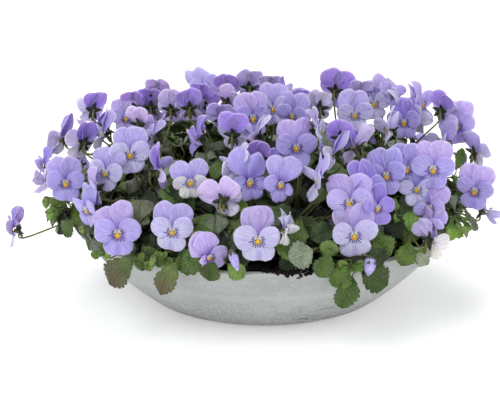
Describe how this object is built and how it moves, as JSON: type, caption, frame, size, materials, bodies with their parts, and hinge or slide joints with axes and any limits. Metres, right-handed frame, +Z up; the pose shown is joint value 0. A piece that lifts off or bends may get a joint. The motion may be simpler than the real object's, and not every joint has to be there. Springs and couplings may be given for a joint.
{
  "type": "potted viola planter",
  "caption": "Shallow round grey-green bowl planted with lavender violas that stand over their leaves and trail a little over the rim.",
  "frame": {"origin": "centre of the bowl's flat foot, on the ground", "axes": "+Z up out of the bowl, the front of the planter faces -Y, +X to the viewer's right"},
  "size_m": [0.4265, 0.3707, 0.1919],
  "materials": {
    "pot": "matt fibre cement, faintly mottled and pitted",
    "soil": "damp dark potting soil, crumbly",
    "foliage": "soft green leaves and stems, slightly glossy",
    "petals": "thin velvety petals, lavender with darker veins and a yellow eye"
  },
  "bodies": {
    "root": {"pot": "pot", "soil": "soil", "foliage_1": "foliage", "foliage_2": "foliage", "foliage_3": "foliage", "foliage_4": "foliage", "foliage_5": "foliage", "foliage_6": "foliage", "foliage_7": "foliage", "blooms_01": "petals", "blooms_02": "petals", "blooms_03": "petals", "blooms_04": "petals", "blooms_05": "petals", "blooms_06": "petals", "blooms_07": "petals", "blooms_08": "petals", "blooms_09": "petals", "blooms_10": "petals", "blooms_11": "petals", "blooms_12": "petals", "blooms_13": "petals", "blooms_14": "petals", "blooms_15": "petals", "blooms_16": "petals", "blooms_17": "petals", "blooms_18": "petals", "blooms_19": "petals", "blooms_20": "petals", "blooms_21": "petals", "blooms_22": "petals", "blooms_23": "petals", "blooms_24": "petals", "blooms_25": "petals", "blooms_26": "petals", "blooms_27": "petals", "blooms_28": "petals", "blooms_29": "petals", "blooms_30": "petals", "blooms_31": "petals", "blooms_32": "petals", "blooms_33": "petals", "blooms_34": "petals", "blooms_35": "petals", "blooms_36": "petals", "blooms_37": "petals", "blooms_38": "petals", "blooms_39": "petals", "blooms_40": "petals", "blooms_41": "petals", "blooms_42": "petals", "blooms_43": "petals", "blooms_44": "petals", "blooms_45": "petals", "blooms_46": "petals", "blooms_47": "petals", "blooms_48": "petals", "blooms_49": "petals", "blooms_50": "petals"}
  },
  "joints": []
}
